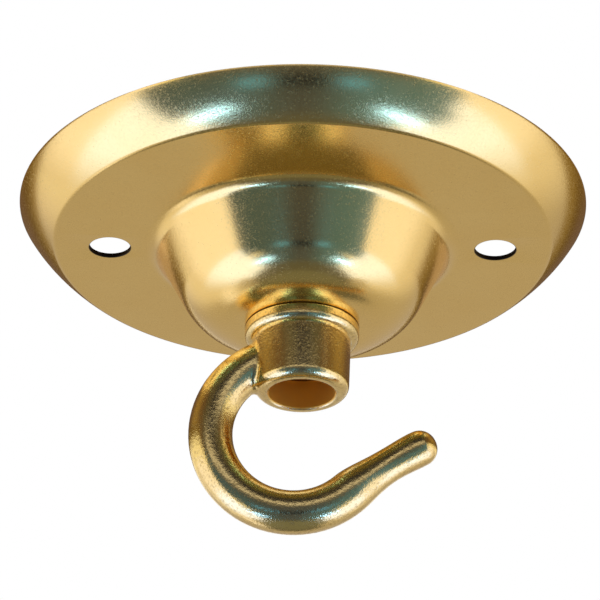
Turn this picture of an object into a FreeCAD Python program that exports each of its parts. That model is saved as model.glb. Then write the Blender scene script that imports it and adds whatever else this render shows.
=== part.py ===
import FreeCAD, Part
import math
import os
import Sketcher

# Brass ceiling hook for a pendant lamp: a pressed plate, a cast hook below it,
# and the hollow threaded nipple and nut that clamp the two together.
# The origin lies on the ceiling plane at the plate's centre, +Z up, millimetres and degrees.

V = FreeCAD.Vector
doc = FreeCAD.newDocument("ceiling_hook")

sheet = doc.addObject("Spreadsheet::Sheet", "Sizes")
SIZES = {
    "plate_diameter": 75.0,
    "plate_depth": 5.7,
    "sheet_thickness": 0.6,
    "flat_diameter": 64.6,
    "fold_radius": 1.0,
    "skirt_radius": 20.0,
    "dome_base_diameter": 41.8,
    "dome_depth": 17.45,
    "flare_radius": 2.4,
    "wall_angle": 27.0,
    "shoulder_radius": 8.6,
    "fixing_centres": 50.8,
    "fixing_hole_diameter": 5.4,
    "thread_diameter": 10.0,
    "thread_clearance": 0.05,
    "plate_hole_clearance": 0.15,
    "collar_overhang": 1.1,
    "collar_height": 2.15,
    "collar_edge_radius": 1.0,
    "collar_seam_radius": 0.35,
    "boss_diameter": 12.7,
    "boss_height": 9.7,
    "boss_draft": 1.9,
    "boss_edge_radius": 1.3,
    "cable_bore_diameter": 8.6,
    "bore_chamfer": 0.25,
    "socket_depth": 5.6,
    "bar_diameter": 5.7,
    "loop_radius": 11.3,
    "loop_offset": 0.4,
    "loop_drop": 15.4,
    "loop_turn": 42.5,
    "seat_radius": 10.4,
    "arm_rise": 41.9,
    "arm_curve_radius": 48.0,
    "arm_length": 11.35,
    "taper_start": 0.4,
    "waist_distance": 4.6,
    "waist_diameter": 4.72,
    "neck_distance": 8.0,
    "neck_diameter": 4.47,
    "tip_diameter": 4.65,
    "tip_edge_radius": 2.2,
    "root_fillet": 0.8,
    "nipple_bore": 7.4,
    "nipple_end_gap": 0.1,
    "nipple_projection": 1.4,
    "nipple_chamfer": 0.5,
    "nut_across_flats": 14.0,
    "nut_thickness": 3.0,
    "nut_chamfer_angle": 30.0,
}
for row, (alias, value) in enumerate(SIZES.items(), start=1):
    sheet.set("A%d" % row, alias)
    sheet.set("B%d" % row, str(value))
    sheet.setAlias("B%d" % row, alias)
doc.recompute()


def size(alias):
    return float(sheet.get(alias))


def plane(body, role):
    return next(f for f in body.Origin.OriginFeatures if f.Role == role)


def new_body(label):
    body = doc.addObject("PartDesign::Body", label)
    body.Label = label
    return body


def new_sketch(body, role, name):
    sketch = body.newObject("Sketcher::SketchObject", name)
    sketch.AttachmentSupport = [(plane(body, role), "")]
    sketch.MapMode = "FlatFace"
    return sketch


def line(sketch, start, end):
    return sketch.addGeometry(Part.LineSegment(V(*start, 0), V(*end, 0)))


def arc(sketch, centre, radius, start_angle, end_angle):
    circle = Part.Circle(V(*centre, 0), V(0, 0, 1), radius)
    ends = math.radians(start_angle), math.radians(end_angle)
    return sketch.addGeometry(Part.ArcOfCircle(circle, *ends))


def rule(sketch, kind, *items):
    return sketch.addConstraint(Sketcher.Constraint(kind, *items))


def bound(sketch, kind, items, expression):
    # a dimension that starts at the drawn value and then follows the sheet
    index = sketch.addConstraint(Sketcher.Constraint(kind, *items))
    sketch.setExpression("Constraints[%d]" % index, expression)
    return index


def across(sketch, geometry, point, drawn, expression):
    # distance of a point from the vertical axis, on whichever side it is drawn
    ends = (-1, 1, geometry, point) if drawn >= 0 else (geometry, point, -1, 1)
    return bound(sketch, "DistanceX", ends + (abs(drawn),), expression)


def below(sketch, geometry, point, drawn, expression):
    # distance of a point below the horizontal axis
    return bound(sketch, "DistanceY", (geometry, point, -1, 1, abs(drawn)), expression)


def revolve(body, sketch, name, kind="PartDesign::Revolution"):
    feature = body.newObject(kind, name)
    feature.Profile = sketch
    feature.ReferenceAxis = (sketch, ["V_Axis"])
    feature.Angle = 360
    return feature


def settled(feature, before=None):
    # a cut has to take something away, or it points the wrong way
    doc.recompute()
    if before is not None and feature.Shape.Volume > before - 1e-6:
        raise RuntimeError(feature.Name + " removes nothing")
    return feature.Shape.Volume


START, END, CENTRE = 1, 2, 3
NEAR = 1e-3

# Ceiling plate: the outer form turned as one solid, then hollowed to the sheet's thickness
# from the ceiling side.
plate = new_body("ceiling_plate")
rim = size("plate_diameter") / 2
flat_edge = size("flat_diameter") / 2
root = size("dome_base_diameter") / 2
ring_z = -size("plate_depth")
base_z = -size("dome_depth")
lean = math.radians(size("wall_angle"))
fold_r = size("fold_radius")
flare_r = size("flare_radius")
shoulder_r = size("shoulder_radius")
skirt_r = size("skirt_radius")

# The skirt's arc passes the rim and runs on smoothly from the fold's arc.
fold_c = V(flat_edge, ring_z + fold_r, 0)
to_rim = V(rim, 0, 0) - fold_c
reach = to_rim.Length
swing = math.acos((skirt_r ** 2 + reach ** 2 - (skirt_r - fold_r) ** 2) / (2 * skirt_r * reach))
toward = math.atan2(-to_rim.y, -to_rim.x) - swing
skirt_c = V(rim + skirt_r * math.cos(toward), skirt_r * math.sin(toward), 0)
leave = fold_c - skirt_c
leave_angle = math.degrees(math.atan2(leave.y, leave.x))
rim_angle = math.degrees(math.atan2(-skirt_c.y, rim - skirt_c.x))

flare_c = V(root, ring_z - flare_r, 0)
wall_top = flare_c + V(-math.cos(lean), math.sin(lean), 0) * flare_r
shoulder_cz = base_z + shoulder_r
wall_low_z = shoulder_cz - shoulder_r * math.sin(lean)
wall_low_x = wall_top.x - (wall_top.y - wall_low_z) * math.tan(lean)
shoulder_c = V(wall_low_x - shoulder_r * math.cos(lean), shoulder_cz, 0)

profile = new_sketch(plate, "XZ_Plane", "plate_profile")
top = line(profile, (0, 0), (rim, 0))
skirt = arc(profile, (skirt_c.x, skirt_c.y), skirt_r, leave_angle, rim_angle)
fold = arc(profile, (fold_c.x, fold_c.y), fold_r, -90, leave_angle)
ring = line(profile, (root, ring_z), (flat_edge, ring_z))
flare = arc(profile, (flare_c.x, flare_c.y), flare_r, 90, 180 - math.degrees(lean))
wall = line(profile, (wall_low_x, wall_low_z), (wall_top.x, wall_top.y))
shoulder = arc(profile, (shoulder_c.x, shoulder_c.y), shoulder_r, -90, -math.degrees(lean))
floor = line(profile, (0, base_z), (shoulder_c.x, base_z))
axis = line(profile, (0, base_z), (0, 0))
rule(profile, "Coincident", top, START, -1, 1)
rule(profile, "Horizontal", top)
rule(profile, "Coincident", top, END, skirt, END)
rule(profile, "Tangent", skirt, START, fold, END)
rule(profile, "Tangent", fold, START, ring, END)
rule(profile, "Horizontal", ring)
rule(profile, "Tangent", ring, START, flare, START)
rule(profile, "Tangent", flare, END, wall, END)
rule(profile, "Tangent", wall, START, shoulder, END)
rule(profile, "Tangent", shoulder, START, floor, END)
rule(profile, "Horizontal", floor)
rule(profile, "Coincident", floor, START, axis, START)
rule(profile, "Coincident", axis, END, top, START)
rule(profile, "Vertical", axis)
across(profile, top, END, rim, "Sizes.plate_diameter / 2")
bound(profile, "Radius", (skirt, skirt_r), "Sizes.skirt_radius")
bound(profile, "Radius", (fold, fold_r), "Sizes.fold_radius")
across(profile, ring, END, flat_edge, "Sizes.flat_diameter / 2")
below(profile, ring, END, ring_z, "Sizes.plate_depth")
across(profile, ring, START, root, "Sizes.dome_base_diameter / 2")
bound(profile, "Radius", (flare, flare_r), "Sizes.flare_radius")
bound(profile, "Angle", (wall, math.pi / 2 - lean), "(90 - Sizes.wall_angle) * 1 deg")
bound(profile, "Radius", (shoulder, shoulder_r), "Sizes.shoulder_radius")
below(profile, floor, START, base_z, "Sizes.dome_depth")
form = revolve(plate, profile, "plate_form")
doc.recompute()

ceiling_face = next(
    "Face%d" % (i + 1)
    for i, face in enumerate(form.Shape.Faces)
    if abs(face.BoundBox.ZMin) < 1e-6 and abs(face.BoundBox.ZMax) < 1e-6
)
shell = plate.newObject("PartDesign::Thickness", "plate_sheet")
shell.Base = (form, [ceiling_face])
shell.setExpression("Value", "Sizes.sheet_thickness")
shell.Reversed = True
shell.Join = "Intersection"
left = settled(shell)

plate_holes = new_sketch(plate, "XY_Plane", "plate_holes")
nipple_hole_r = size("thread_diameter") / 2 + size("plate_hole_clearance")
nipple_hole = plate_holes.addGeometry(Part.Circle(V(0, 0, 0), V(0, 0, 1), nipple_hole_r))
rule(plate_holes, "Coincident", nipple_hole, CENTRE, -1, 1)
NIPPLE_HOLE = "Sizes.thread_diameter / 2 + Sizes.plate_hole_clearance"
bound(plate_holes, "Radius", (nipple_hole, nipple_hole_r), NIPPLE_HOLE)
centre_cut = plate.newObject("PartDesign::Pocket", "nipple_hole")
centre_cut.Profile = plate_holes
centre_cut.Type = "ThroughAll"
left = settled(centre_cut, left)

fixing = new_sketch(plate, "XY_Plane", "fixing_hole")
fixing_x = size("fixing_centres") / 2
fixing_r = size("fixing_hole_diameter") / 2
screw_hole = fixing.addGeometry(Part.Circle(V(fixing_x, 0, 0), V(0, 0, 1), fixing_r))
rule(fixing, "PointOnObject", screw_hole, CENTRE, -1)
across(fixing, screw_hole, CENTRE, fixing_x, "Sizes.fixing_centres / 2")
bound(fixing, "Diameter", (screw_hole, 2 * fixing_r), "Sizes.fixing_hole_diameter")
fixing_cut = plate.newObject("PartDesign::Pocket", "fixing_cut")
fixing_cut.Profile = fixing
fixing_cut.Type = "ThroughAll"
left = settled(fixing_cut, left)
both_sides = plate.newObject("PartDesign::PolarPattern", "fixing_pair")
both_sides.Originals = [fixing_cut]
both_sides.Axis = (plane(plate, "Z_Axis"), [""])
both_sides.Angle = 360
both_sides.Occurrences = 2
plate.Tip = both_sides
left = settled(both_sides, left)

# Hook: collar and boss turned about the axis.
# Its own origin is the middle of the collar's upper face.
hook = new_body("hook")
hook.setExpression("Placement.Base.z", "-Sizes.dome_depth")
boss_r = size("boss_diameter") / 2
collar_r = boss_r + size("collar_overhang")
collar_z = -size("collar_height")
collar_edge = size("collar_edge_radius")
seam_r = size("collar_seam_radius")
boss_z = -size("boss_height")
boss_edge = size("boss_edge_radius")
draft = math.radians(size("boss_draft"))
boss_slope = math.tan(draft)
edge_cx = boss_r - (collar_z - boss_z - boss_edge) * boss_slope - boss_edge / math.cos(draft)
edge_end = V(edge_cx + boss_edge * math.cos(draft), boss_z + boss_edge - boss_edge * math.sin(draft), 0)

turned = new_sketch(hook, "XZ_Plane", "boss_profile")
seat = line(turned, (0, 0), (collar_r - seam_r, 0))
seam_round = arc(turned, (collar_r - seam_r, -seam_r), seam_r, 0, 90)
collar_side = line(turned, (collar_r, collar_z + collar_edge), (collar_r, -seam_r))
collar_round = arc(turned, (collar_r - collar_edge, collar_z + collar_edge), collar_edge, -90, 0)
collar_under = line(turned, (boss_r, collar_z), (collar_r - collar_edge, collar_z))
boss_side = line(turned, (edge_end.x, edge_end.y), (boss_r, collar_z))
boss_round = arc(turned, (edge_cx, boss_z + boss_edge), boss_edge, -90, -math.degrees(draft))
boss_face = line(turned, (0, boss_z), (edge_cx, boss_z))
boss_axis = line(turned, (0, boss_z), (0, 0))
rule(turned, "Coincident", seat, START, -1, 1)
rule(turned, "Horizontal", seat)
rule(turned, "Tangent", seat, END, seam_round, END)
rule(turned, "Tangent", seam_round, START, collar_side, END)
rule(turned, "Vertical", collar_side)
rule(turned, "Tangent", collar_side, START, collar_round, END)
rule(turned, "Tangent", collar_round, START, collar_under, END)
rule(turned, "Horizontal", collar_under)
rule(turned, "Coincident", collar_under, START, boss_side, END)
rule(turned, "Tangent", boss_side, START, boss_round, END)
rule(turned, "Tangent", boss_round, START, boss_face, END)
rule(turned, "Horizontal", boss_face)
rule(turned, "Coincident", boss_face, START, boss_axis, START)
rule(turned, "Coincident", boss_axis, END, seat, START)
rule(turned, "Vertical", boss_axis)
across(turned, collar_side, END, collar_r, "Sizes.boss_diameter / 2 + Sizes.collar_overhang")
bound(turned, "Radius", (seam_round, seam_r), "Sizes.collar_seam_radius")
bound(turned, "Radius", (collar_round, collar_edge), "Sizes.collar_edge_radius")
below(turned, collar_under, START, collar_z, "Sizes.collar_height")
across(turned, collar_under, START, boss_r, "Sizes.boss_diameter / 2")
bound(turned, "Angle", (boss_side, math.pi / 2 - draft), "(90 - Sizes.boss_draft) * 1 deg")
bound(turned, "Radius", (boss_round, boss_edge), "Sizes.boss_edge_radius")
below(turned, boss_face, START, boss_z, "Sizes.boss_height")
boss = revolve(hook, turned, "boss_form")
settled(boss)

# The bar's centre line lies in the XZ plane: the loop's arc leaves the boss wall, the seat's arc
# carries the load under the axis, and the arm's arc bends the other way up to the tip.
bore_r = size("cable_bore_diameter") / 2
loop_r = size("loop_radius")
loop_x = -size("loop_offset")
loop_z = -size("loop_drop")
turn = math.radians(size("loop_turn"))
seat_r = size("seat_radius")
rise = math.radians(size("arm_rise"))
curve_r = size("arm_curve_radius")
arm_turn = size("arm_length") / curve_r
leaves = math.asin((bore_r + loop_x) / loop_r)
seat_x = loop_x - (loop_r - seat_r) * math.sin(turn)
seat_z = loop_z - (loop_r - seat_r) * math.cos(turn)
curve_x = seat_x + (seat_r + curve_r) * math.sin(rise)
curve_z = seat_z - (seat_r + curve_r) * math.cos(rise)

TURN = "Sizes.loop_turn * 1 deg"
RISE = "Sizes.arm_rise * 1 deg"
LEAVES = "asin((Sizes.cable_bore_diameter / 2 - Sizes.loop_offset) / Sizes.loop_radius)"
SEAT_X = "-Sizes.loop_offset - (Sizes.loop_radius - Sizes.seat_radius) * sin(" + TURN + ")"
SEAT_Z = "-Sizes.loop_drop - (Sizes.loop_radius - Sizes.seat_radius) * cos(" + TURN + ")"
CURVE_X = SEAT_X + " + (Sizes.seat_radius + Sizes.arm_curve_radius) * sin(" + RISE + ")"
CURVE_Z = SEAT_Z + " - (Sizes.seat_radius + Sizes.arm_curve_radius) * cos(" + RISE + ")"

bend = new_sketch(hook, "XZ_Plane", "loop_line")
loop_arc = arc(bend, (loop_x, loop_z), loop_r, 90 + math.degrees(leaves), 270 - math.degrees(turn))
seat_arc = arc(bend, (seat_x, seat_z), seat_r, 270 - math.degrees(turn), 270 + math.degrees(rise))
rule(bend, "Tangent", loop_arc, END, seat_arc, START)
across(bend, loop_arc, CENTRE, loop_x, "Sizes.loop_offset")
below(bend, loop_arc, CENTRE, loop_z, "Sizes.loop_drop")
bound(bend, "Radius", (loop_arc, loop_r), "Sizes.loop_radius")
bound(bend, "Radius", (seat_arc, seat_r), "Sizes.seat_radius")
across(bend, loop_arc, START, -bore_r, "Sizes.cable_bore_diameter / 2")
across(bend, seat_arc, CENTRE, seat_x, "-(" + SEAT_X + ")")
seat_end_x = seat_x + seat_r * math.sin(rise)
across(bend, seat_arc, END, seat_end_x, SEAT_X + " + Sizes.seat_radius * sin(" + RISE + ")")

reach_out = new_sketch(hook, "XZ_Plane", "arm_line")
tip_at = rise - arm_turn
arm_arc = arc(reach_out, (curve_x, curve_z), curve_r, 90 + math.degrees(tip_at), 90 + math.degrees(rise))
TIP_AT = "(" + RISE + " - Sizes.arm_length / Sizes.arm_curve_radius * 1 rad)"
across(reach_out, arm_arc, CENTRE, curve_x, CURVE_X)
below(reach_out, arm_arc, CENTRE, curve_z, "-(" + CURVE_Z + ")")
bound(reach_out, "Radius", (arm_arc, curve_r), "Sizes.arm_curve_radius")
TIP_X = CURVE_X + " - Sizes.arm_curve_radius * sin" + TIP_AT
ARM_X = CURVE_X + " - Sizes.arm_curve_radius * sin(" + RISE + ")"
across(reach_out, arm_arc, START, curve_x - curve_r * math.sin(tip_at), TIP_X)
across(reach_out, arm_arc, END, curve_x - curve_r * math.sin(rise), ARM_X)


def section(name, x, z, tilt, diameter):
    # a round section of the bar, square to its centre line
    sketch = new_sketch(hook, "XY_Plane", name)
    sketch.AttachmentOffset = FreeCAD.Placement(V(0, 0, 0), FreeCAD.Rotation(V(0, 1, 0), 30))
    sketch.setExpression("AttachmentOffset.Base.x", x)
    sketch.setExpression("AttachmentOffset.Base.z", z)
    sketch.setExpression("AttachmentOffset.Rotation.Angle", tilt)
    ring_round = sketch.addGeometry(Part.Circle(V(0, 0, 0), V(0, 0, 1), size("bar_diameter") / 2))
    rule(sketch, "Coincident", ring_round, CENTRE, -1, 1)
    bound(sketch, "Diameter", (ring_round, size("bar_diameter")), diameter)
    return sketch


def arm_section(name, along, diameter):
    # a section at a distance along the arm's arc
    at = "(" + RISE + " - " + along + " / Sizes.arm_curve_radius * 1 rad)"
    x = CURVE_X + " - Sizes.arm_curve_radius * sin" + at
    z = CURVE_Z + " + Sizes.arm_curve_radius * cos" + at
    return section(name, x, z, "90 deg - " + at, diameter)


bar_section = section(
    "bar_section",
    "-Sizes.cable_bore_diameter / 2",
    "-Sizes.loop_drop + Sizes.loop_radius * cos(" + LEAVES + ")",
    "90 deg - " + LEAVES,
    "Sizes.bar_diameter",
)
loop_bar = hook.newObject("PartDesign::AdditivePipe", "loop_bar")
loop_bar.Profile = bar_section
loop_bar.Spine = bend
settled(loop_bar)

arm_root = arm_section("arm_root", "0", "Sizes.bar_diameter")
arm_full = arm_section("arm_full", "Sizes.taper_start", "Sizes.bar_diameter")
arm_waist = arm_section("arm_waist", "Sizes.waist_distance", "Sizes.waist_diameter")
arm_neck = arm_section("arm_neck", "Sizes.neck_distance", "Sizes.neck_diameter")
arm_tip = arm_section("arm_tip", "Sizes.arm_length", "Sizes.tip_diameter")
arm = hook.newObject("PartDesign::AdditivePipe", "arm")
arm.Profile = arm_root
arm.Spine = reach_out
arm.Transformation = "Multisection"
arm.Sections = [(arm_full, [""]), (arm_waist, [""]), (arm_neck, [""]), (arm_tip, [""])]
settled(arm)


def edges_where(feature, test):
    return [
        "Edge%d" % (i + 1)
        for i, edge in enumerate(feature.Shape.Edges)
        if all(test(point) for point in edge.discretize(7))
    ]


def at_root(point):
    # true along the curve where the bar's surface leaves the boss
    radial = math.hypot(point.x, point.y)
    from_loop = math.hypot(point.x - loop_x, point.z - loop_z) - loop_r
    on_bar = abs(math.hypot(from_loop, point.y) - size("bar_diameter") / 2) < NEAR
    on_boss = bore_r < radial < boss_r + NEAR and boss_z < point.z < collar_z + NEAR
    return on_bar and on_boss


tip_r = size("tip_diameter") / 2
tip_edge = size("tip_edge_radius")
rounded = new_sketch(hook, "XZ_Plane", "tip_profile")
rounded.AttachmentOffset = FreeCAD.Placement(V(0, 0, 0), FreeCAD.Rotation(V(0, 0, -1), 60))
rounded.setExpression("AttachmentOffset.Base.x", TIP_X)
rounded.setExpression("AttachmentOffset.Base.y", CURVE_Z + " + Sizes.arm_curve_radius * cos" + TIP_AT)
rounded.setExpression("AttachmentOffset.Rotation.Angle", "90 deg - " + TIP_AT)
tip_base = line(rounded, (0, 0), (tip_r, 0))
tip_curve = arc(rounded, (tip_r - tip_edge, 0), tip_edge, 0, 90)
tip_face = line(rounded, (0, tip_edge), (tip_r - tip_edge, tip_edge))
tip_axis = line(rounded, (0, tip_edge), (0, 0))
rule(rounded, "Coincident", tip_base, START, -1, 1)
rule(rounded, "Horizontal", tip_base)
rule(rounded, "Coincident", tip_base, END, tip_curve, START)
rule(rounded, "PointOnObject", tip_curve, CENTRE, tip_base)
rule(rounded, "Tangent", tip_curve, END, tip_face, END)
rule(rounded, "Horizontal", tip_face)
rule(rounded, "Coincident", tip_face, START, tip_axis, START)
rule(rounded, "Coincident", tip_axis, END, tip_base, START)
rule(rounded, "Vertical", tip_axis)
across(rounded, tip_base, END, tip_r, "Sizes.tip_diameter / 2")
bound(rounded, "Radius", (tip_curve, tip_edge), "Sizes.tip_edge_radius")
tip_round = revolve(hook, rounded, "tip_round")
settled(tip_round)
root_blend = hook.newObject("PartDesign::Fillet", "root_blend")
root_blend.Base = (tip_round, edges_where(tip_round, at_root))
root_blend.setExpression("Radius", "Sizes.root_fillet")
left = settled(root_blend)

# The cable's bore runs up the boss into the wider threaded socket under the plate.
socket_r = size("thread_diameter") / 2 + size("thread_clearance")
socket_z = -size("socket_depth")
mouth_r = bore_r + size("bore_chamfer")
mouth_z = boss_z + size("bore_chamfer")
drilled = new_sketch(hook, "XZ_Plane", "bore_profile")
socket_top = line(drilled, (0, 0), (socket_r, 0))
socket_side = line(drilled, (socket_r, socket_z), (socket_r, 0))
socket_step = line(drilled, (bore_r, socket_z), (socket_r, socket_z))
bore_side = line(drilled, (bore_r, mouth_z), (bore_r, socket_z))
mouth = line(drilled, (mouth_r, boss_z), (bore_r, mouth_z))
mouth_face = line(drilled, (0, boss_z), (mouth_r, boss_z))
bore_axis = line(drilled, (0, boss_z), (0, 0))
rule(drilled, "Coincident", socket_top, START, -1, 1)
rule(drilled, "Horizontal", socket_top)
rule(drilled, "Coincident", socket_top, END, socket_side, END)
rule(drilled, "Vertical", socket_side)
rule(drilled, "Coincident", socket_side, START, socket_step, END)
rule(drilled, "Horizontal", socket_step)
rule(drilled, "Coincident", socket_step, START, bore_side, END)
rule(drilled, "Vertical", bore_side)
rule(drilled, "Coincident", bore_side, START, mouth, END)
rule(drilled, "Coincident", mouth, START, mouth_face, END)
rule(drilled, "Horizontal", mouth_face)
rule(drilled, "Coincident", mouth_face, START, bore_axis, START)
rule(drilled, "Coincident", bore_axis, END, socket_top, START)
rule(drilled, "Vertical", bore_axis)
across(drilled, socket_top, END, socket_r, "Sizes.thread_diameter / 2 + Sizes.thread_clearance")
below(drilled, socket_step, END, socket_z, "Sizes.socket_depth")
across(drilled, bore_side, START, bore_r, "Sizes.cable_bore_diameter / 2")
below(drilled, mouth_face, END, boss_z, "Sizes.boss_height")
across(drilled, mouth_face, END, mouth_r, "Sizes.cable_bore_diameter / 2 + Sizes.bore_chamfer")
below(drilled, mouth, END, mouth_z, "Sizes.boss_height - Sizes.bore_chamfer")
bore = revolve(hook, drilled, "cable_bore", "PartDesign::Groove")
left = settled(bore, left)

# Nipple: hollow tube with chamfered ends.
# Its own origin is the middle of its lower end, inside the hook's socket.
nipple = new_body("threaded_nipple")
nipple.setExpression("Placement.Base.z", "-Sizes.dome_depth - Sizes.socket_depth + Sizes.nipple_end_gap")
NIPPLE_LENGTH = (
    "Sizes.socket_depth - Sizes.nipple_end_gap + Sizes.sheet_thickness"
    " + Sizes.nut_thickness + Sizes.nipple_projection"
)
tube_r = size("thread_diameter") / 2
hollow_r = size("nipple_bore") / 2
tube_length = (
    size("socket_depth") - size("nipple_end_gap") + size("sheet_thickness")
    + size("nut_thickness") + size("nipple_projection")
)
ring_sketch = new_sketch(nipple, "XY_Plane", "nipple_section")
tube_outer = ring_sketch.addGeometry(Part.Circle(V(0, 0, 0), V(0, 0, 1), tube_r))
tube_inner = ring_sketch.addGeometry(Part.Circle(V(0, 0, 0), V(0, 0, 1), hollow_r))
rule(ring_sketch, "Coincident", tube_outer, CENTRE, -1, 1)
rule(ring_sketch, "Coincident", tube_inner, CENTRE, -1, 1)
bound(ring_sketch, "Diameter", (tube_outer, 2 * tube_r), "Sizes.thread_diameter")
bound(ring_sketch, "Diameter", (tube_inner, 2 * hollow_r), "Sizes.nipple_bore")
tube = nipple.newObject("PartDesign::Pad", "nipple_tube")
tube.Profile = ring_sketch
tube.setExpression("Length", NIPPLE_LENGTH)
left = settled(tube)


def at_tube_end(point):
    # true along the two outer edges of the tube
    at_end = point.z < NEAR or point.z > tube_length - NEAR
    return at_end and math.hypot(point.x, point.y) > tube_r - NEAR


tube_ends = nipple.newObject("PartDesign::Chamfer", "nipple_ends")
tube_ends.Base = (tube, edges_where(tube, at_tube_end))
tube_ends.setExpression("Size", "Sizes.nipple_chamfer")
left = settled(tube_ends, left)

# Lock nut: hexagon with its corners turned off on both faces. It sits on the sheet inside the dome.
nut = new_body("lock_nut")
nut.setExpression("Placement.Base.z", "-Sizes.dome_depth + Sizes.sheet_thickness")
hexagon = nut.newObject("PartDesign::AdditivePrism", "nut_hexagon")
hexagon.Polygon = 6
hexagon.setExpression("Circumradius", "Sizes.nut_across_flats / sqrt(3)")
hexagon.setExpression("Height", "Sizes.nut_thickness")
left = settled(hexagon)
flat_r = size("nut_across_flats") / 2
corner_r = size("nut_across_flats") / math.sqrt(3)
nut_top = size("nut_thickness")
nut_lean = math.radians(size("nut_chamfer_angle"))
cut_height = (corner_r - flat_r) * math.tan(nut_lean)
corners = new_sketch(nut, "XZ_Plane", "nut_corners")
NUT_CUT = "Sizes.nut_across_flats * (1 / sqrt(3) - 0.5) * tan(Sizes.nut_chamfer_angle * 1 deg)"
for face_z, inward in ((0.0, 1), (nut_top, -1)):
    slope = line(corners, (flat_r, face_z), (corner_r, face_z + inward * cut_height))
    outer = line(corners, (corner_r, face_z + inward * cut_height), (corner_r, face_z))
    face_edge = line(corners, (corner_r, face_z), (flat_r, face_z))
    rule(corners, "Coincident", slope, END, outer, START)
    rule(corners, "Coincident", outer, END, face_edge, START)
    rule(corners, "Coincident", face_edge, END, slope, START)
    rule(corners, "Vertical", outer)
    rule(corners, "Horizontal", face_edge)
    across(corners, slope, START, flat_r, "Sizes.nut_across_flats / 2")
    across(corners, outer, START, corner_r, "Sizes.nut_across_flats / sqrt(3)")
    if inward > 0:
        rule(corners, "PointOnObject", slope, START, -1)
        bound(corners, "DistanceY", (outer, END, outer, START, cut_height), NUT_CUT)
    else:
        bound(corners, "DistanceY", (-1, 1, slope, START, nut_top), "Sizes.nut_thickness")
        bound(corners, "DistanceY", (outer, START, outer, END, cut_height), NUT_CUT)
corner_cut = revolve(nut, corners, "corner_cut", "PartDesign::Groove")
left = settled(corner_cut, left)
tapped = new_sketch(nut, "XY_Plane", "nut_bore")
tapped_hole = tapped.addGeometry(Part.Circle(V(0, 0, 0), V(0, 0, 1), socket_r))
rule(tapped, "Coincident", tapped_hole, CENTRE, -1, 1)
bound(tapped, "Radius", (tapped_hole, socket_r), "Sizes.thread_diameter / 2 + Sizes.thread_clearance")
nut_hole = nut.newObject("PartDesign::Pocket", "nut_hole")
nut_hole.Profile = tapped
nut_hole.Type = "ThroughAll"
nut_hole.Reversed = True
left = settled(nut_hole, left)

doc.recompute()
for item in doc.Objects:
    if "Invalid" in item.State or "Error" in item.State:
        raise RuntimeError(item.Name + " failed: " + ", ".join(item.State))
nodes = [plate, hook, nipple, nut]
for body in nodes:
    shape = body.Shape
    if shape.isNull() or not shape.isValid() or len(shape.Solids) != 1:
        raise RuntimeError(body.Label + " is not one sound solid")

os.makedirs("parts", exist_ok=True)
for body in nodes:
    body.Shape.exportStep("parts/" + body.Label + ".step")
    print(body.Label, round(body.Shape.Volume, 1))
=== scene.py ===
import math

import bpy
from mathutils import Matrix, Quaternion, Vector


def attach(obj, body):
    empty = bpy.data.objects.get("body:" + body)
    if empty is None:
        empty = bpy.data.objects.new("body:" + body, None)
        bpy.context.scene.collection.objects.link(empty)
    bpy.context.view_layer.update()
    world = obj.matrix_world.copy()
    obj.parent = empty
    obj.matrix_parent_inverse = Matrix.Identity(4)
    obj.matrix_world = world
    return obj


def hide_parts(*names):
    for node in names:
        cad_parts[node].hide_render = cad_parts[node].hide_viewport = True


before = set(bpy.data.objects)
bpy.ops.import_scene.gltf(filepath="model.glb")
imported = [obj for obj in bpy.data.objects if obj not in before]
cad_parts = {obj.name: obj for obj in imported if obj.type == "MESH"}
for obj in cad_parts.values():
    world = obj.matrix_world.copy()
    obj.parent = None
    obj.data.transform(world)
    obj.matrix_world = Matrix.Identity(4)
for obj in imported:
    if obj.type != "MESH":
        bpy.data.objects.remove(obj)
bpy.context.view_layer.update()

# Sizes are in mm and angles in degrees, and MM turns a size into metres
MM = 0.001
WELD = 0.002


# Handling of the work

def put_tools_down():
    """Leaves edit mode with nothing selected."""
    if bpy.context.object and bpy.context.object.mode != "OBJECT":
        bpy.ops.object.mode_set(mode="OBJECT")
    bpy.ops.object.select_all(action="DESELECT")


def pick_up(piece):
    """Makes one piece the selected and active one."""
    put_tools_down()
    piece.select_set(True)
    bpy.context.view_layer.objects.active = piece


def open_mesh(piece):
    """Goes into edit mode on one piece with all of it selected."""
    pick_up(piece)
    bpy.ops.object.mode_set(mode="EDIT")
    bpy.ops.mesh.select_mode(type="VERT")
    bpy.ops.mesh.select_all(action="SELECT")


def bend(centre, radius, start, finish, count):
    """Points in mm along a bend from one angle to another, in degrees."""
    points = []
    for step in range(count + 1):
        angle = math.radians(start + (finish - start) * step / count)
        points.append((centre[0] + radius * math.cos(angle), centre[1] + radius * math.sin(angle)))
    return points


def draw_outline(name, outline):
    """Draws an outline of (radius, height) points in mm, starting from one corner."""
    put_tools_down()
    bpy.ops.mesh.primitive_plane_add(size=MM, location=(0, 0, 0))
    piece = bpy.context.object
    piece.name = name
    piece.data.name = name
    open_mesh(piece)
    bpy.ops.mesh.merge(type="CENTER")
    bpy.ops.transform.translate(value=(outline[0][0] * MM, 0, outline[0][1] * MM))
    for here, there in zip(outline, outline[1:]):
        step = ((there[0] - here[0]) * MM, 0, (there[1] - here[1]) * MM)
        bpy.ops.mesh.extrude_vertices_move(TRANSFORM_OT_translate={"value": step})
    bpy.ops.mesh.select_all(action="SELECT")
    return piece


def turn(name, outline, steps, sweep=360):
    """Turns an outline round the upright axis, as on a lathe, and closes it."""
    piece = draw_outline(name, outline)
    bpy.ops.mesh.spin(steps=steps, angle=math.radians(sweep), center=(0, 0, 0), axis=(0, 0, -1))
    bpy.ops.mesh.select_all(action="SELECT")
    bpy.ops.mesh.remove_doubles(threshold=WELD * MM)
    bpy.ops.mesh.normals_make_consistent(inside=False)
    put_tools_down()
    return piece


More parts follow.
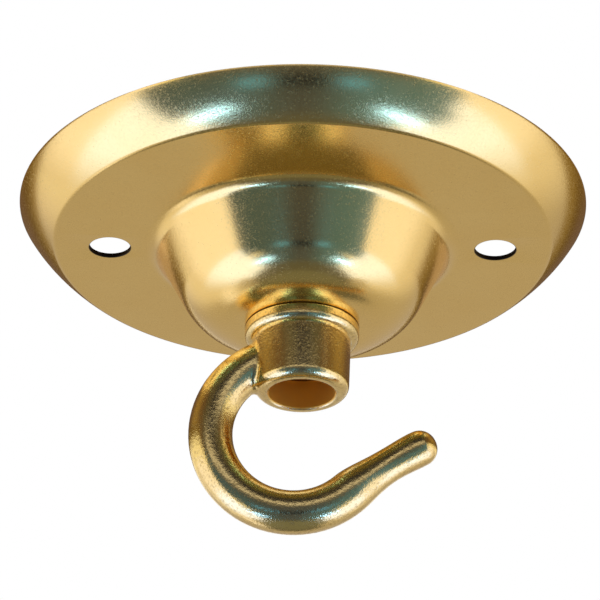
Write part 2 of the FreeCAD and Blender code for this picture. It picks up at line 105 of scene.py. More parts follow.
def cut(piece, cutter, operation="DIFFERENCE"):
    """Cuts a piece with another and throws the cutter away."""
    pick_up(piece)
    saw = piece.modifiers.new("cut", "BOOLEAN")
    saw.operation = operation
    saw.solver = "EXACT"
    saw.object = cutter
    bpy.ops.object.modifier_apply(modifier=saw.name)
    waste = cutter.data
    bpy.data.objects.remove(cutter)
    bpy.data.meshes.remove(waste)


def smooth(piece, angle):
    """Shades a piece smooth, with edges kept where the faces turn by more than the angle."""
    pick_up(piece)
    bpy.ops.object.shade_smooth_by_angle(angle=math.radians(angle))
    put_tools_down()


def soften_edges(piece, width, segments, angle):
    """Rounds the sharp edges of a piece."""
    pick_up(piece)
    rounding = piece.modifiers.new("soft edges", "BEVEL")
    rounding.width = width * MM
    rounding.segments = segments
    rounding.limit_method = "ANGLE"
    rounding.angle_limit = math.radians(angle)
    bpy.ops.object.modifier_apply(modifier=rounding.name)


# Finishes

GRAIN_SHARE = 0.35
ZONE_MARGIN = 0.05
ZONE_FADE = 0.10
CLOUD_DEEP = 0.32
CLOUD_PALE = 0.68
PIT_LOSS = (0.95, 1.0, 1.1)


def node(tree, kind, **values):
    """Adds a node and sets its own values."""
    made = tree.nodes.new(kind)
    for name, value in values.items():
        setattr(made, name, value)
    return made


def sockets(made, **values):
    """Sets the unlinked inputs of a node by name."""
    for name, value in values.items():
        made.inputs[name.replace("_", " ")].default_value = value
    return made


def start_group(name, inputs, outputs):
    """Starts a node group with named inputs and outputs."""
    group = bpy.data.node_groups.new(name, "ShaderNodeTree")
    for label, kind, value in inputs:
        socket = group.interface.new_socket(label, in_out="INPUT", socket_type=kind)
        socket.default_value = value
    for label, kind in outputs:
        group.interface.new_socket(label, in_out="OUTPUT", socket_type=kind)
    return group, group.nodes.new("NodeGroupInput"), group.nodes.new("NodeGroupOutput")


def make_grain_group():
    """Fine grain and small pits of a blasted or cast skin, and slow clouds over it."""
    group, given, out = start_group(
        "skin grain",
        [
            ("Grain Scale", "NodeSocketFloat", 7000.0),
            ("Pit Scale", "NodeSocketFloat", 3200.0),
            ("Pit Floor", "NodeSocketFloat", 0.36),
            ("Pit Edge", "NodeSocketFloat", 0.48),
            ("Cloud Scale", "NodeSocketFloat", 120.0),
        ],
        [
            ("Height", "NodeSocketFloat"),
            ("Pits", "NodeSocketFloat"),
            ("Clouds", "NodeSocketFloat"),
        ],
    )
    place = node(group, "ShaderNodeTexCoord")
    grain = sockets(node(group, "ShaderNodeTexNoise"), Detail=1.0, Roughness=0.5)
    pits = sockets(node(group, "ShaderNodeTexNoise"), Detail=2.0, Roughness=0.6)
    clouds = sockets(node(group, "ShaderNodeTexNoise"), Detail=4.0, Roughness=0.55)
    for texture, label in ((grain, "Grain Scale"), (pits, "Pit Scale"), (clouds, "Cloud Scale")):
        group.links.new(place.outputs["Object"], texture.inputs["Vector"])
        group.links.new(given.outputs[label], texture.inputs["Scale"])
    hollow = sockets(node(group, "ShaderNodeMapRange"), To_Min=1.0, To_Max=0.0)
    group.links.new(pits.outputs["Fac"], hollow.inputs["Value"])
    group.links.new(given.outputs["Pit Floor"], hollow.inputs["From Min"])
    group.links.new(given.outputs["Pit Edge"], hollow.inputs["From Max"])
    height = node(group, "ShaderNodeMath", operation="MULTIPLY_ADD")
    height.inputs[1].default_value = GRAIN_SHARE
    group.links.new(grain.outputs["Fac"], height.inputs[0])
    group.links.new(pits.outputs["Fac"], height.inputs[2])
    group.links.new(height.outputs["Value"], out.inputs["Height"])
    group.links.new(hollow.outputs["Result"], out.inputs["Pits"])
    group.links.new(clouds.outputs["Fac"], out.inputs["Clouds"])
    return group


def make_edge_group():
    """Where edges are rubbed: bright on corners that hands and cloths reach."""
    group, given, out = start_group(
        "rubbed edges",
        [
            ("Width", "NodeSocketFloat", 0.0004),
            ("Breakup Scale", "NodeSocketFloat", 900.0),
        ],
        [("Rubbed", "NodeSocketFloat")],
    )
    rounded = node(group, "ShaderNodeBevel", samples=6)
    group.links.new(given.outputs["Width"], rounded.inputs["Radius"])
    surface = node(group, "ShaderNodeNewGeometry")
    same = node(group, "ShaderNodeVectorMath", operation="DOT_PRODUCT")
    group.links.new(rounded.outputs["Normal"], same.inputs[0])
    group.links.new(surface.outputs["Normal"], same.inputs[1])
    turned = sockets(node(group, "ShaderNodeMapRange"), From_Min=0.995, From_Max=0.86)
    group.links.new(same.outputs["Value"], turned.inputs["Value"])
    place = node(group, "ShaderNodeTexCoord")
    breakup = sockets(node(group, "ShaderNodeTexNoise"), Detail=3.0)
    group.links.new(place.outputs["Object"], breakup.inputs["Vector"])
    group.links.new(given.outputs["Breakup Scale"], breakup.inputs["Scale"])
    patchy = sockets(node(group, "ShaderNodeMapRange"), From_Min=0.35, From_Max=0.65)
    group.links.new(breakup.outputs["Fac"], patchy.inputs["Value"])
    rubbed = node(group, "ShaderNodeMath", operation="MULTIPLY")
    group.links.new(turned.outputs["Result"], rubbed.inputs[0])
    group.links.new(patchy.outputs["Result"], rubbed.inputs[1])
    group.links.new(rubbed.outputs["Value"], out.inputs["Rubbed"])
    return group


SKIN_GRAIN = make_grain_group()
RUBBED_EDGES = make_edge_group()


def paint_round_shade(tree, colour_out, gloss_out, shade_zone):
    """Lays a painted shade over a finish within an upright round, or two at either side of the middle.

    The shade zone is its distance from the middle, radius, lowest and highest height, painted shade tone
    and roughness."""
    apart, radius, lowest, highest, tone, roughness = shade_zone
    place = node(tree, "ShaderNodeTexCoord")
    half = node(tree, "ShaderNodeVectorMath", operation="ABSOLUTE")
    tree.links.new(place.outputs["Object"], half.inputs[0])
    level = sockets(node(tree, "ShaderNodeMapping"), Location=(-apart * MM, 0, 0), Scale=(1, 1, 0))
    tree.links.new(half.outputs["Vector"], level.inputs["Vector"])
    reach = node(tree, "ShaderNodeVectorMath", operation="LENGTH")
    tree.links.new(level.outputs["Vector"], reach.inputs[0])
    limit = radius + ZONE_MARGIN
    near = sockets(node(tree, "ShaderNodeMapRange"), From_Min=(limit + ZONE_FADE) * MM, From_Max=limit * MM)
    tree.links.new(reach.outputs["Value"], near.inputs["Value"])
    split = node(tree, "ShaderNodeSeparateXYZ")
    tree.links.new(place.outputs["Object"], split.inputs["Vector"])
    inside = near.outputs["Result"]
    for edge, fade in ((lowest, ZONE_FADE), (highest, -ZONE_FADE)):
        bound = node(tree, "ShaderNodeMapRange")
        sockets(bound, From_Min=(edge - fade) * MM, From_Max=(edge + fade) * MM)
        tree.links.new(split.outputs["Z"], bound.inputs["Value"])
        both = node(tree, "ShaderNodeMath", operation="MULTIPLY")
        tree.links.new(inside, both.inputs[0])
        tree.links.new(bound.outputs["Result"], both.inputs[1])
        inside = both.outputs["Value"]
    # The painted shade tone is mixed in over the zone
    shaded = node(tree, "ShaderNodeMix", data_type="RGBA")
    shaded.inputs["B"].default_value = (*tone, 1)
    tree.links.new(inside, shaded.inputs["Factor"])
    tree.links.new(colour_out, shaded.inputs["A"])
    dull = node(tree, "ShaderNodeMix", data_type="FLOAT")
    dull.inputs["B"].default_value = roughness
    tree.links.new(inside, dull.inputs["Factor"])
    tree.links.new(gloss_out, dull.inputs["A"])
    return shaded.outputs["Result"], dull.outputs["Result"]


def brass(name, pale, deep, rubbed, roughness, grain, pits, bump, wear, coat, painted_shade_zones=()):
    """A brass finish: two tones in slow clouds, rubbed edges, dull pits, and grain in the normal.

    Grain holds the scales of grain, pits and clouds. Pits have a floor, edge, darkening and roughness.
    Wear has a width and a scale, and the coat a weight and a roughness.
    Painted shade zones are rounds in bores, hole walls and round the collar, where a painted shade tone and
    a roughness are laid over the finish."""
    grain_scale, pit_scale, cloud_scale = grain
    pit_floor, pit_edge, pit_darkening, pit_roughness = pits
    wear_width, wear_scale = wear
    coat_weight, coat_roughness = coat
    finish = bpy.data.materials.new(name)
    finish.use_nodes = True
    tree = finish.node_tree
    shader = tree.nodes["Principled BSDF"]
    shader.inputs["Metallic"].default_value = 1.0
    shader.inputs["Coat Weight"].default_value = coat_weight
    shader.inputs["Coat Roughness"].default_value = coat_roughness
    skin = node(tree, "ShaderNodeGroup", node_tree=SKIN_GRAIN)
    sockets(skin, Grain_Scale=grain_scale, Pit_Scale=pit_scale, Cloud_Scale=cloud_scale)
    sockets(skin, Pit_Floor=pit_floor, Pit_Edge=pit_edge)
    edges = node(tree, "ShaderNodeGroup", node_tree=RUBBED_EDGES)
    sockets(edges, Width=wear_width * MM, Breakup_Scale=wear_scale)
    tone = node(tree, "ShaderNodeValToRGB")
    tone.color_ramp.elements[0].position = CLOUD_DEEP
    tone.color_ramp.elements[0].color = (*deep, 1)
    tone.color_ramp.elements[1].position = CLOUD_PALE
    tone.color_ramp.elements[1].color = (*pale, 1)
    tree.links.new(skin.outputs["Clouds"], tone.inputs["Fac"])
    worn = node(tree, "ShaderNodeMix", data_type="RGBA")
    worn.inputs["B"].default_value = (*rubbed, 1)
    tree.links.new(edges.outputs["Rubbed"], worn.inputs["Factor"])
    tree.links.new(tone.outputs["Color"], worn.inputs["A"])
    shade = node(tree, "ShaderNodeMix", data_type="RGBA", blend_type="MULTIPLY")
    shade.inputs["B"].default_value = (*(1 - pit_darkening * loss for loss in PIT_LOSS), 1)
    tree.links.new(skin.outputs["Pits"], shade.inputs["Factor"])
    tree.links.new(worn.outputs["Result"], shade.inputs["A"])
    gloss = sockets(node(tree, "ShaderNodeMapRange"), To_Min=roughness, To_Max=pit_roughness)
    tree.links.new(skin.outputs["Pits"], gloss.inputs["Value"])
    colour_out, gloss_out = shade.outputs["Result"], gloss.outputs["Result"]
    for shade_zone in painted_shade_zones:
        colour_out, gloss_out = paint_round_shade(tree, colour_out, gloss_out, shade_zone)
    tree.links.new(colour_out, shader.inputs["Base Color"])
    tree.links.new(gloss_out, shader.inputs["Roughness"])
    relief = sockets(node(tree, "ShaderNodeBump"), Strength=1.0, Distance=bump * MM)
    tree.links.new(skin.outputs["Height"], relief.inputs["Height"])
    tree.links.new(relief.outputs["Normal"], shader.inputs["Normal"])
    return finish


# Painted shade: the walls of the fixing holes are darkened nearly to black
HOLE_WALL_PAINTED_SHADE = (25.4, 2.7, -7.0, -3.0, (0.020, 0.014, 0.008), 0.45)
# Painted shadow: a dark ring on the dome floor round the hook's collar, where the two meet
COLLAR_PAINTED_SHADOW = (0.0, 7.35, -18.0, -16.9, (0.30, 0.17, 0.035), 0.40)
# Painted shade: a darker, deep orange tone inside the hook's cable bore
CABLE_BORE_PAINTED_SHADE = (0.0, 4.3, -27.2, -22.0, (0.87, 0.47, 0.055), 0.58)
# Painted shade: the same darker, deep orange tone on the nipple's end inside the bore
NIPPLE_END_PAINTED_SHADE = (0.0, 5.3, -24.0, -21.6, (0.87, 0.47, 0.055), 0.58)

PLATE_BRASS = brass(
    "lacquered plate brass",
    pale=(0.95, 0.638, 0.172),
    deep=(0.93, 0.610, 0.155),
    rubbed=(0.96, 0.75, 0.36),
    roughness=0.17,
    grain=(8000.0, 3600.0, 110.0),
    pits=(0.30, 0.55, 0.02, 0.28),
    bump=0.008,
    wear=(0.25, 800.0),
    coat=(0.04, 0.15),
    painted_shade_zones=[HOLE_WALL_PAINTED_SHADE, COLLAR_PAINTED_SHADOW],
)
CAST_BRASS = brass(
    "cast hook brass",
    pale=(0.95, 0.695, 0.235),
    deep=(0.90, 0.62, 0.185),
    rubbed=(0.96, 0.82, 0.48),
    roughness=0.15,
    grain=(8000.0, 2700.0, 160.0),
    pits=(0.34, 0.50, 0.28, 0.29),
    bump=0.027,
    wear=(0.4, 600.0),
    coat=(0.05, 0.12),
    painted_shade_zones=[CABLE_BORE_PAINTED_SHADE],
)
NIPPLE_BRASS = brass(
    "turned nipple brass",
    pale=(0.92, 0.70, 0.31),
    deep=(0.86, 0.61, 0.24),
    rubbed=(0.96, 0.82, 0.50),
    roughness=0.24,
    grain=(8000.0, 3500.0, 300.0),
    pits=(0.34, 0.46, 0.15, 0.36),
    bump=0.006,
    wear=(0.15, 1200.0),
    coat=(0.0, 0.1),
    painted_shade_zones=[NIPPLE_END_PAINTED_SHADE],
)
NUT_BRASS = brass(
    "milled nut brass",
    pale=(0.90, 0.68, 0.30),
    deep=(0.85, 0.59, 0.22),
    rubbed=(0.96, 0.82, 0.50),
    roughness=0.26,
    grain=(8000.0, 3500.0, 260.0),
    pits=(0.34, 0.46, 0.15, 0.38),
    bump=0.006,
    wear=(0.25, 1000.0),
    coat=(0.0, 0.1),
)


def dress(piece, node_name, finish):
    """Hangs a finished piece on the frame in place of its node."""
    piece.data.materials.clear()
    piece.data.materials.append(finish)
    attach(piece, "root")
    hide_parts(node_name)


# Pressed ceiling plate

SHEET = 0.6
SKIRT_CENTRE = (20.105, 9.870)
SKIRT_RADIUS = 20.0
FOLD_CENTRE = (32.3, -4.7)
FOLD_RADIUS = 1.0
FOLD_START = -50.08
FLARE_CENTRE = (20.9, -8.1)
FLARE_RADIUS = 2.4
SHOULDER_CENTRE = (8.172, -8.85)
SHOULDER_RADIUS = 8.6
WALL_LEAN = 27.0
RIM_START_UNDER = -29.95
RIM_START_UPPER = -30.58
RIM_LIP = [(37.30, 0.0), (37.40, -0.025), (37.445, -0.07)]
CENTRE_HOLE_RADIUS = 5.15
CENTRE_HOLE_LOW = -17.35
CENTRE_HOLE_HIGH = -16.95
CENTRE_HOLE_BREAK = 0.1
FIXING_CENTRES = 50.8
FIXING_HOLE_RADIUS = 2.7
PUNCH_LOW = -6.2
PUNCH_HIGH = -4.6
PUNCH_FOOT_RADIUS = 3.2
PUNCH_BEND_CENTRE = (2.82, -5.58)
PUNCH_BEND_RADIUS = 0.12
PUNCH_STEPS = 72
PLATE_STEPS = 256
PLATE_SHARP = 40


def sheet_face(depth, rim_start):
    """One face of the pressed sheet from rim to centre hole, so far inside the visible face."""
    skirt = bend(SKIRT_CENTRE, SKIRT_RADIUS - depth, rim_start, FOLD_START, 26)
    fold = bend(FOLD_CENTRE, FOLD_RADIUS - depth, FOLD_START, -90, 8)
    flare = bend(FLARE_CENTRE, FLARE_RADIUS + depth, 90, 180 - WALL_LEAN, 16)
    shoulder = bend(SHOULDER_CENTRE, SHOULDER_RADIUS - depth, -WALL_LEAN, -90, 24)
    floor = [(CENTRE_HOLE_RADIUS + CENTRE_HOLE_BREAK, shoulder[-1][1])]
    return skirt + fold[1:] + flare + shoulder + floor


def make_plate():
    """The round plate, pressed from sheet: skirt, fold, flat ring, flare and dome."""
    under = sheet_face(0.0, RIM_START_UNDER)
    upper = sheet_face(SHEET, RIM_START_UPPER)
    hole = [(CENTRE_HOLE_RADIUS, CENTRE_HOLE_LOW), (CENTRE_HOLE_RADIUS, CENTRE_HOLE_HIGH)]
    outline = RIM_LIP + under + hole + upper[::-1]
    outline.append(outline[0])
    plate = turn("pressed_plate", outline, PLATE_STEPS)
    for side in (-1, 1):
        foot = [(0, PUNCH_LOW), (PUNCH_FOOT_RADIUS, PUNCH_LOW)]
        rounding = bend(PUNCH_BEND_CENTRE, PUNCH_BEND_RADIUS, -90, -180, 5)
        head = [(FIXING_HOLE_RADIUS, PUNCH_HIGH), (0, PUNCH_HIGH)]
        cutter = turn("fixing_punch", foot + rounding + head, PUNCH_STEPS)
        cutter.location.x = side * FIXING_CENTRES / 2 * MM
        bpy.context.view_layer.update()
        cut(plate, cutter)
    smooth(plate, PLATE_SHARP)
    dress(plate, "ceiling_plate", PLATE_BRASS)


make_plate()


# Cast hook

def finish_hook():
    """The hook keeps its cast shape and gets its skin."""
    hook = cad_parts["hook"]
    hook.data.materials.clear()
    hook.data.materials.append(CAST_BRASS)


finish_hook()


# Nipple and nut inside the dome

NIPPLE_LOW = -22.95
NIPPLE_HIGH = -12.45
NIPPLE_BORE_RADIUS = 3.7
NIPPLE_CHAMFER = 0.25
NIPPLE_BORE_BREAK = 0.15
THREAD_CORE_RADIUS = 4.45
THREAD_CREST_RADIUS = 4.98
THREAD_PITCH = 1.0
THREAD_TURNS = 9
THREAD_STEPS = 60
THREAD_START = 0.3
RIDGE_SINK = 0.08
RIDGE_CREST_LOW = 0.42
RIDGE_CREST_HIGH = 0.54
RIDGE_WIDTH = 0.96
NUT_LOW = -16.85
NUT_HIGH = -13.85
NUT_CORNER_RADIUS = 8.083
NUT_FLAT_RADIUS = 7.0
NUT_HOLE_RADIUS = 5.05
NUT_CORNER_FALL = 0.625
NUT_COUNTERSINK = 0.45
NUT_EDGE_BREAK = 0.08
FACING_SPARE = 0.1
FACING_SPARE_FALL = 0.058
TAP_SPARE = 0.5
TURNING_STEPS = 96
TURNED_SHARP = 30


def make_nipple():
    """A threaded tube: a turned core with one ridge wound round it, short of both ends."""
    low, high = NIPPLE_LOW, NIPPLE_HIGH
    core = [
        (NIPPLE_BORE_RADIUS + NIPPLE_BORE_BREAK, low),
        (THREAD_CORE_RADIUS - NIPPLE_CHAMFER, low),
        (THREAD_CORE_RADIUS, low + NIPPLE_CHAMFER),
        (THREAD_CORE_RADIUS, high - NIPPLE_CHAMFER),
        (THREAD_CORE_RADIUS - NIPPLE_CHAMFER, high),
        (NIPPLE_BORE_RADIUS + NIPPLE_BORE_BREAK, high),
        (NIPPLE_BORE_RADIUS, high - NIPPLE_BORE_BREAK),
        (NIPPLE_BORE_RADIUS, low + NIPPLE_BORE_BREAK),
        (NIPPLE_BORE_RADIUS + NIPPLE_BORE_BREAK, low),
    ]
    tube = turn("threaded_nipple_turned", core, TURNING_STEPS)
    foot = low + THREAD_START
    ridge_outline = [
        (THREAD_CORE_RADIUS - RIDGE_SINK, foot),
        (THREAD_CREST_RADIUS, foot + RIDGE_CREST_LOW),
        (THREAD_CREST_RADIUS, foot + RIDGE_CREST_HIGH),
        (THREAD_CORE_RADIUS - RIDGE_SINK, foot + RIDGE_WIDTH),
        (THREAD_CORE_RADIUS - RIDGE_SINK, foot),
    ]
    ridge = draw_outline("thread_ridge", ridge_outline)
    bpy.ops.mesh.remove_doubles(threshold=WELD * MM)
    pick_up(ridge)
    winding = ridge.modifiers.new("winding", "SCREW")
    winding.axis = "Z"
    winding.angle = math.radians(360)
    winding.screw_offset = THREAD_PITCH * MM
    winding.iterations = THREAD_TURNS
    winding.steps = THREAD_STEPS
    winding.render_steps = THREAD_STEPS
    winding.use_merge_vertices = False
    bpy.ops.object.modifier_apply(modifier=winding.name)
    open_mesh(ridge)
    bpy.ops.mesh.fill_holes(sides=6)
    bpy.ops.mesh.select_all(action="SELECT")
    bpy.ops.mesh.normals_make_consistent(inside=False)
    put_tools_down()
    pick_up(ridge)
    tube.select_set(True)
    bpy.context.view_layer.objects.active = tube
    bpy.ops.object.join()
    smooth(tube, TURNED_SHARP)
    dress(tube, "threaded_nipple", NIPPLE_BRASS)


def make_nut():
    """A hexagon nut: corners turned off at both faces, the hole countersunk, edges broken."""
    put_tools_down()
    bpy.ops.mesh.primitive_cylinder_add(
        vertices=6,
        radius=NUT_CORNER_RADIUS * MM,
        depth=(NUT_HIGH - NUT_LOW) * MM,
        location=(0, 0, (NUT_HIGH + NUT_LOW) / 2 * MM),
        rotation=(0, 0, math.radians(30)),
    )
    nut = bpy.context.object
    nut.name = "lock_nut_milled"
    nut.data.name = "lock_nut_milled"
    bpy.ops.object.transform_apply(location=True, rotation=True, scale=True)
    facing_radius = NUT_CORNER_RADIUS + FACING_SPARE
    turned = [
        (0, NUT_LOW),
        (NUT_FLAT_RADIUS, NUT_LOW),
        (facing_radius, NUT_LOW + NUT_CORNER_FALL + FACING_SPARE_FALL),
        (facing_radius, NUT_HIGH - NUT_CORNER_FALL - FACING_SPARE_FALL),
        (NUT_FLAT_RADIUS, NUT_HIGH),
        (0, NUT_HIGH),
    ]
    cut(nut, turn("nut_facing", turned, TURNING_STEPS), "INTERSECT")
    mouth_radius = NUT_HOLE_RADIUS + NUT_COUNTERSINK + TAP_SPARE
    tap = [
        (0, NUT_LOW - TAP_SPARE),
        (mouth_radius, NUT_LOW - TAP_SPARE),
        (NUT_HOLE_RADIUS, NUT_LOW + NUT_COUNTERSINK),
        (NUT_HOLE_RADIUS, NUT_HIGH - NUT_COUNTERSINK),
        (mouth_radius, NUT_HIGH + TAP_SPARE),
        (0, NUT_HIGH + TAP_SPARE),
    ]
    cut(nut, turn("nut_tap", tap, TURNING_STEPS))
    soften_edges(nut, NUT_EDGE_BREAK, 2, 25)
    smooth(nut, TURNED_SHARP)
    dress(nut, "lock_nut", NUT_BRASS)


make_nipple()
make_nut()


# Studio

CARD_DISTANCE = 1200.0
SOFTBOX_DISTANCE = 1190.0
LAMP_DISTANCE = 1150.0
MIDDLE_DISTANCE = 200.0
NEAR_DISTANCE = 100.0


def light_card_material(name, shades, low=0.0, high=1.0):
    """A card that shows its own shade, in steps along its sweep from 0 to 1."""
    card = bpy.data.materials.new(name)
    card.use_nodes = True
    tree = card.node_tree
    tree.nodes.clear()
    place = node(tree, "ShaderNodeTexCoord")
    round_axis = node(tree, "ShaderNodeTexGradient", gradient_type="RADIAL")
    tree.links.new(place.outputs["Object"], round_axis.inputs["Vector"])
    along = sockets(node(tree, "ShaderNodeMapRange"), From_Min=low, From_Max=high)
    tree.links.new(round_axis.outputs["Fac"], along.inputs["Value"])
    ramp = node(tree, "ShaderNodeValToRGB")
    ramp.color_ramp.interpolation = "EASE"
    stops = ramp.color_ramp.elements
    stops[0].position, stops[0].color = shades[0][0], (*shades[0][1], 1)
    stops[1].position, stops[1].color = shades[-1][0], (*shades[-1][1], 1)
    for position, shade in shades[1:-1]:
        stops.new(position).color = (*shade, 1)
    tree.links.new(along.outputs["Result"], ramp.inputs["Fac"])
    glow = node(tree, "ShaderNodeEmission")
    tree.links.new(ramp.outputs["Color"], glow.inputs["Color"])
    out = node(tree, "ShaderNodeOutputMaterial")
    tree.links.new(glow.outputs["Emission"], out.inputs["Surface"])
    return card


def hide_card(card):
    """Keeps a card to the reflections alone."""
    card.visible_camera = False
    card.visible_diffuse = False
    card.visible_shadow = False


def stand_card(name, side, height, shades, distance=CARD_DISTANCE):
    """Stands a curved card round the object, between two bearings and two elevations in degrees.

    Bearing 0 is the camera's side and 90 is +X. Shades are given by bearing.
    The card shows in the metal and not to the camera."""
    low = distance * math.tan(math.radians(height[0]))
    high = distance * math.tan(math.radians(height[1]))
    sweep = side[1] - side[0]
    card = turn(name, [(distance, low), (distance, high)], max(8, int(sweep / 4)), sweep)
    card.rotation_euler.z = math.radians(side[0] - 90)
    card.data.materials.clear()
    along = [((bearing - side[0]) / sweep, shade) for bearing, shade in shades]
    card.data.materials.append(light_card_material(name, along, 0.5, 0.5 + sweep / 360))
    hide_card(card)


def stand_plain_card(name, side, height, shade, distance=CARD_DISTANCE):
    """Stands a curved card of one shade."""
    stand_card(name, side, height, [(side[0], shade), (side[1], shade)], distance)


# Shades of the cards, as light that the brass mirrors
DARK = (0.070, 0.083, 0.150)
TEAL = (0.068, 0.132, 0.280)
DUSK = (0.065, 0.120, 0.270)
MOSS = (0.090, 0.205, 0.450)
MIST = (0.140, 0.285, 0.700)
LENS = (0.008, 0.010, 0.025)
TAN = (0.480, 0.468, 0.530)
CREAM = (0.830, 0.840, 1.070)
PALE = (1.0, 1.06, 1.30)
OLIVE = (0.108, 0.116, 0.124)
OCHRE = (0.235, 0.172, 0.055)
BROWN = (0.130, 0.084, 0.028)
AMBER = (0.330, 0.238, 0.105)
SHADOW = (0.034, 0.036, 0.060)
UMBER = (0.095, 0.090, 0.085)
RUST = (0.150, 0.100, 0.070)
SLATE = (0.175, 0.195, 0.205)
STRIP = (0.620, 0.640, 0.850)
DRAB = (0.140, 0.145, 0.200)
GLOW = (1.12, 1.20, 1.90)
DAYLIGHT = (1.25, 1.60, 3.70)
LAMP = (2.6, 6.4, 23.0)
GLIMMER = (0.150, 0.600, 2.000)

stand_card(
    "front_card",
    (-46, 46),
    (-45, 12),
    [(-46, DUSK), (-32, TEAL), (0, DARK), (34, MOSS), (46, MIST)],
)
stand_card(
    "front_low_card",
    (-60, 57),
    (-67, -45),
    [(-60, DUSK), (-32, TEAL), (0, DARK), (34, MOSS), (57, MIST)],
)
stand_card("near_left_card", (-56, -36), (-39, -14.6), [(-56, DUSK), (-36, TEAL)], NEAR_DISTANCE)
stand_card("near_right_card", (36, 54), (-28, -14.6), [(36, MOSS), (54, MIST)], NEAR_DISTANCE)
stand_card("near_right_low_card", (36, 58), (-41, -28), [(36, MOSS), (58, MIST)], NEAR_DISTANCE)
stand_plain_card("lens_card", (-9, 9), (-39, -30), LENS, MIDDLE_DISTANCE)
stand_plain_card("far_card", (150, 210), (-45, 3), TAN)
stand_plain_card("far_low_card", (150, 210), (-67, -45), OLIVE)
stand_card(
    "far_right_card",
    (98, 150),
    (-54, 3),
    [(98, PALE), (113, CREAM), (140, TAN), (150, TAN)],
)
stand_card(
    "far_right_low_card",
    (98, 150),
    (-67, -54),
    [(98, CREAM), (111, TAN), (138, TAN), (150, OLIVE)],
)
stand_card("far_left_card", (210, 242), (-54, 3), [(210, TAN), (228, CREAM), (242, PALE)])
stand_card(
    "far_left_low_card",
    (210, 262),
    (-67, -54),
    [(210, OLIVE), (222, TAN), (247, TAN), (262, CREAM)],
)
stand_plain_card("edge_right_card", (57, 180), (-4.4, 1.8), OCHRE, NEAR_DISTANCE)
stand_plain_card("edge_left_card", (180, 303), (-2.8, 1.8), OCHRE, NEAR_DISTANCE)
stand_plain_card("high_right_card", (57, 180), (1.8, 6.5), BROWN, NEAR_DISTANCE)
stand_plain_card("high_left_card", (180, 303), (1.8, 6.5), BROWN, NEAR_DISTANCE)
stand_card(
    "upper_right_card",
    (57, 180),
    (6.5, 60),
    [(57, RUST), (97, AMBER), (133, RUST), (180, RUST)],
    NEAR_DISTANCE,
)
stand_card(
    "upper_left_card",
    (180, 303),
    (6.5, 60),
    [(180, RUST), (230, RUST), (266, AMBER), (303, RUST)],
    NEAR_DISTANCE,
)
stand_card(
    "brow_card",
    (-60, 58),
    (12, 60),
    [(-60, RUST), (-27, UMBER), (-8, SHADOW), (12, SHADOW), (32, UMBER), (58, RUST)],
)
stand_plain_card("strip_card", (-36, 36), (-10.8, 2.9), STRIP, NEAR_DISTANCE)
stand_plain_card("under_strip_card", (-36, 36), (-19.3, -10.8), DRAB, NEAR_DISTANCE)
stand_card(
    "left_softbox",
    (-128, -57),
    (-54, -24),
    [(-128, CREAM), (-100, DAYLIGHT), (-57, DAYLIGHT)],
    SOFTBOX_DISTANCE,
)
stand_card(
    "right_softbox",
    (57, 122),
    (-54, -26),
    [(57, DAYLIGHT), (90, DAYLIGHT), (122, CREAM)],
    SOFTBOX_DISTANCE,
)
stand_card(
    "left_foot_card",
    (-107, -62),
    (-65, -54),
    [(-107, CREAM), (-99, DAYLIGHT), (-62, DAYLIGHT)],
    SOFTBOX_DISTANCE,
)
stand_card(
    "right_foot_card",
    (62, 105),
    (-65, -54),
    [(62, DAYLIGHT), (97, DAYLIGHT), (105, CREAM)],
    SOFTBOX_DISTANCE,
)
stand_card(
    "left_back_card",
    (206, 240),
    (-50, -41),
    [(206, CREAM), (212, GLOW), (240, GLOW)],
    SOFTBOX_DISTANCE,
)
stand_card("left_glow", (-124, -57), (-24, 3), [(-124, CREAM), (-105, GLOW), (-57, GLOW)], SOFTBOX_DISTANCE)
stand_card("right_glow", (57, 112), (-26, 1), [(57, GLOW), (92, GLOW), (112, CREAM)], SOFTBOX_DISTANCE)

LAMP_HALF_SWEEP = 11
GLIMMER_HALF_SWEEP = 8
GLIMMER_HALF_CORE = 3

for lamp_name, bearing in (("left_lamp", -50), ("right_lamp", 53)):
    lamp_side = (bearing - LAMP_HALF_SWEEP, bearing + LAMP_HALF_SWEEP)
    stand_plain_card(lamp_name, lamp_side, (-54.5, -51.0), LAMP, LAMP_DISTANCE)
for glimmer_name, bearing in (("left_glimmer", -20), ("right_glimmer", 20)):
    stand_card(
        glimmer_name,
        (bearing - GLIMMER_HALF_SWEEP, bearing + GLIMMER_HALF_SWEEP),
        (-37, -31),
        [
            (bearing - GLIMMER_HALF_SWEEP, TEAL),
            (bearing - GLIMMER_HALF_CORE, GLIMMER),
            (bearing + GLIMMER_HALF_CORE, GLIMMER),
            (bearing + GLIMMER_HALF_SWEEP, TEAL),
        ],
        MIDDLE_DISTANCE,
    )


FLOOR_SIZE = 60
FLOOR_HEIGHT = -4.0
UNDER_CARD_RADIUS = 1250
UNDER_CARD_HEIGHT = -2400
UNDER_HOOK_RADIUS = 36
UNDER_HOOK_HEIGHT = -110
UNDER_HOOK_BACK = 10.0


def lay_round_card(name, radius, height, shade, back=0.0):
    """A level round card below, so far behind the axis."""
    card = turn(name, [(0, height), (radius, height)], 48)
    card.data.materials.clear()
    card.data.materials.append(light_card_material(name, [(0.0, shade), (1.0, shade)]))
    card.location.y = back * MM
    hide_card(card)


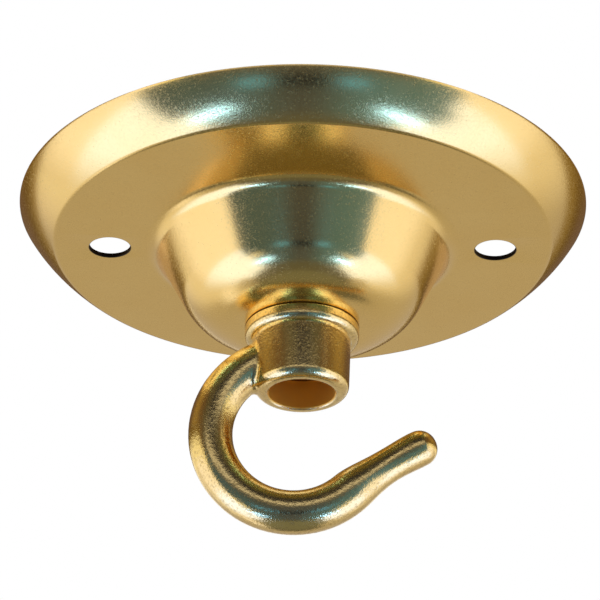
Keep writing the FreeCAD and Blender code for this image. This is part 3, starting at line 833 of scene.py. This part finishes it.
def lay_floor():
    """A plain pale floor, well below the hook."""
    put_tools_down()
    bpy.ops.mesh.primitive_plane_add(size=FLOOR_SIZE, location=(0, 0, FLOOR_HEIGHT))
    floor = bpy.context.object
    floor.name = "floor"
    paint = bpy.data.materials.new("pale floor")
    paint.use_nodes = True
    shader = paint.node_tree.nodes["Principled BSDF"]
    shader.inputs["Base Color"].default_value = (0.93, 0.93, 0.93, 1)
    shader.inputs["Roughness"].default_value = 0.9
    floor.data.materials.append(paint)


def light_room():
    """An even white room all round."""
    world = bpy.context.scene.world or bpy.data.worlds.new("white room")
    bpy.context.scene.world = world
    world.use_nodes = True
    sky = world.node_tree.nodes["Background"]
    sky.inputs["Color"].default_value = (1, 1, 1, 1)
    sky.inputs["Strength"].default_value = 1.0


lay_round_card("under_card", UNDER_CARD_RADIUS, UNDER_CARD_HEIGHT, OLIVE)
lay_round_card("under_hook_card", UNDER_HOOK_RADIUS, UNDER_HOOK_HEIGHT, SLATE, UNDER_HOOK_BACK)
lay_floor()
light_room()


# Camera

CAMERA_DISTANCE = 0.5
CAMERA_BELOW = 27.85
CAMERA_LENS = 229.27
CAMERA_SENSOR = 36.0
CAMERA_NEAREST = 0.01
CAMERA_FURTHEST = 100.0
CAMERA_ROLL = 0.4
CAMERA_TARGET = Vector((-0.30, 0.0, -13.32)) * MM


def place_camera():
    """A long lens from below and in front."""
    lens = bpy.data.cameras.new("camera")
    lens.lens = CAMERA_LENS
    lens.sensor_width = CAMERA_SENSOR
    lens.clip_start = CAMERA_NEAREST
    lens.clip_end = CAMERA_FURTHEST
    camera = bpy.data.objects.new("camera", lens)
    bpy.context.scene.collection.objects.link(camera)
    below = math.radians(CAMERA_BELOW)
    back = Vector((0.0, -math.cos(below), -math.sin(below)))
    camera.location = CAMERA_TARGET + back * CAMERA_DISTANCE
    camera.rotation_mode = "QUATERNION"
    level = (-back).to_track_quat("-Z", "Y")
    camera.rotation_quaternion = level @ Quaternion((0, 0, 1), math.radians(CAMERA_ROLL))
    bpy.context.scene.camera = camera


place_camera()
bpy.context.scene.view_settings.view_transform = "Standard"

put_tools_down()
bpy.context.view_layer.update()
